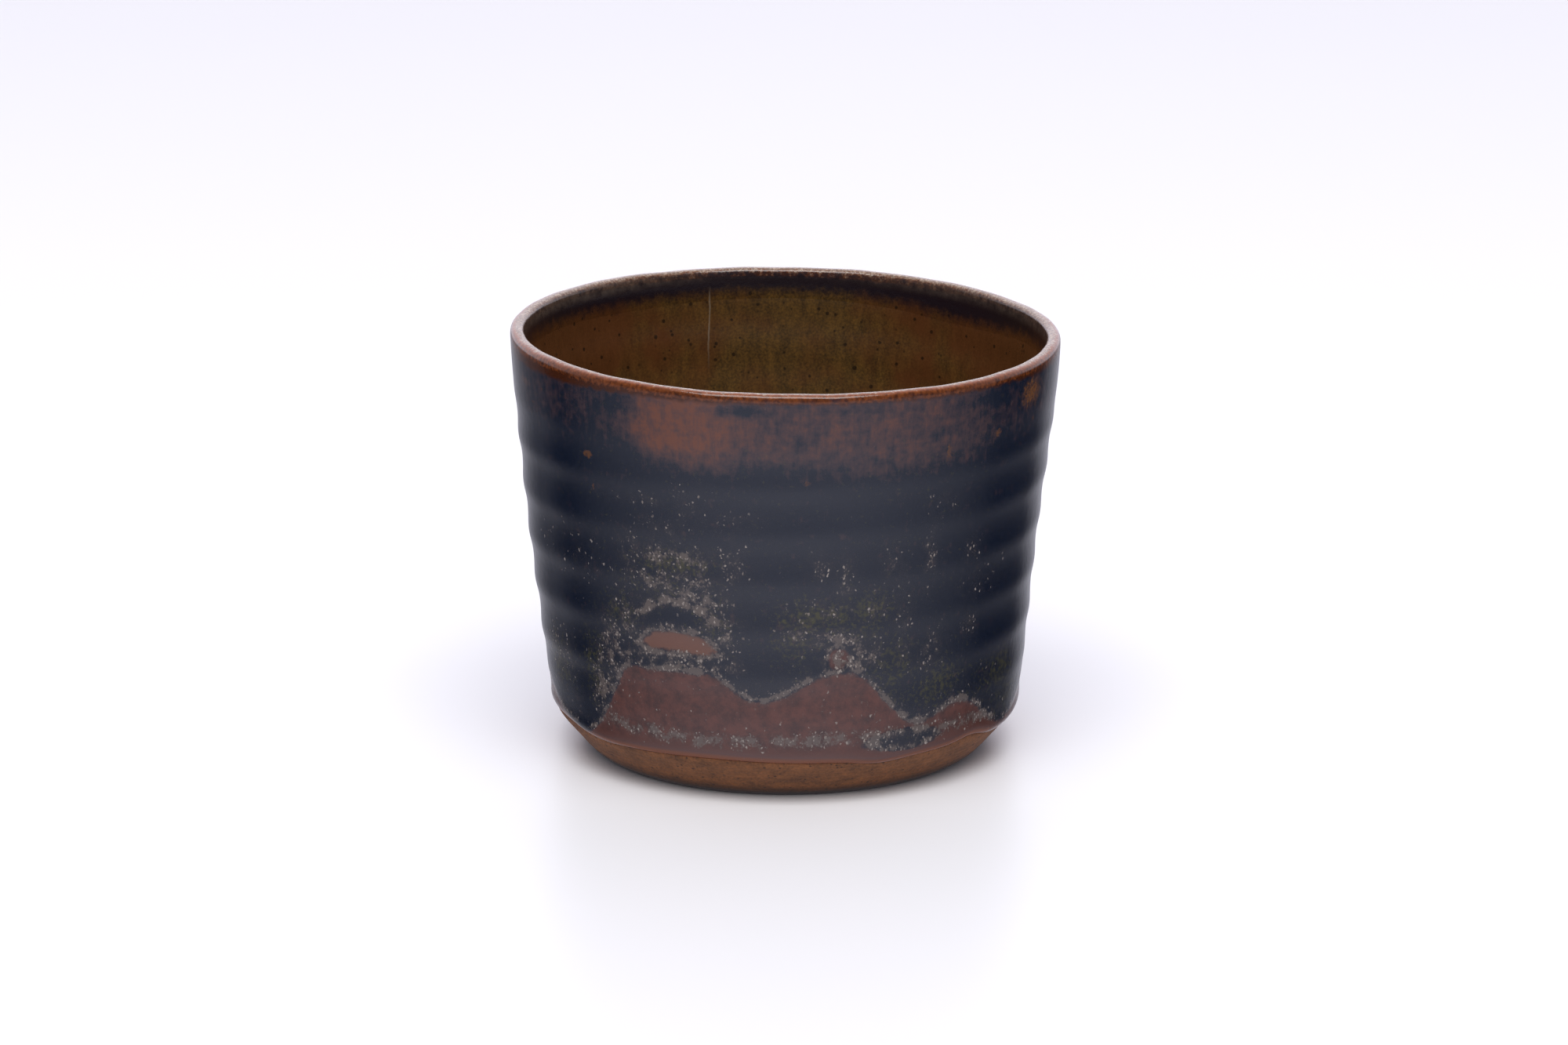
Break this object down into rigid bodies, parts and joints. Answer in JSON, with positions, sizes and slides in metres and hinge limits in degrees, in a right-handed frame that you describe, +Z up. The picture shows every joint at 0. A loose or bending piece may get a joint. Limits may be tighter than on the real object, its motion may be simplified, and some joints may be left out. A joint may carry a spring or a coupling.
{
  "type": "sake cup",
  "caption": "Small thrown stoneware sake cup: a straight flaring wall with faint throwing rings, a thin rounded lip and a bevelled bare-clay foot under a dark iron glaze.",
  "frame": {"origin": "centre of the foot ring that the cup stands on, at the lowest point", "axes": "+Z up the cup's axis, from the foot to the rim; X and Y are free, because the form is turned about Z"},
  "size_m": [0.0724, 0.0724, 0.056],
  "materials": {
    "stoneware": "bare fired clay, matt, with turning lines and dark specks",
    "amber_glaze": "glossy olive-amber liner glaze",
    "iron_glaze": "satin blue-black iron glaze that breaks rust brown"
  },
  "bodies": {
    "root": {"clay_body": "stoneware", "liner_glaze": "amber_glaze", "outer_glaze": "iron_glaze"}
  },
  "joints": []
}
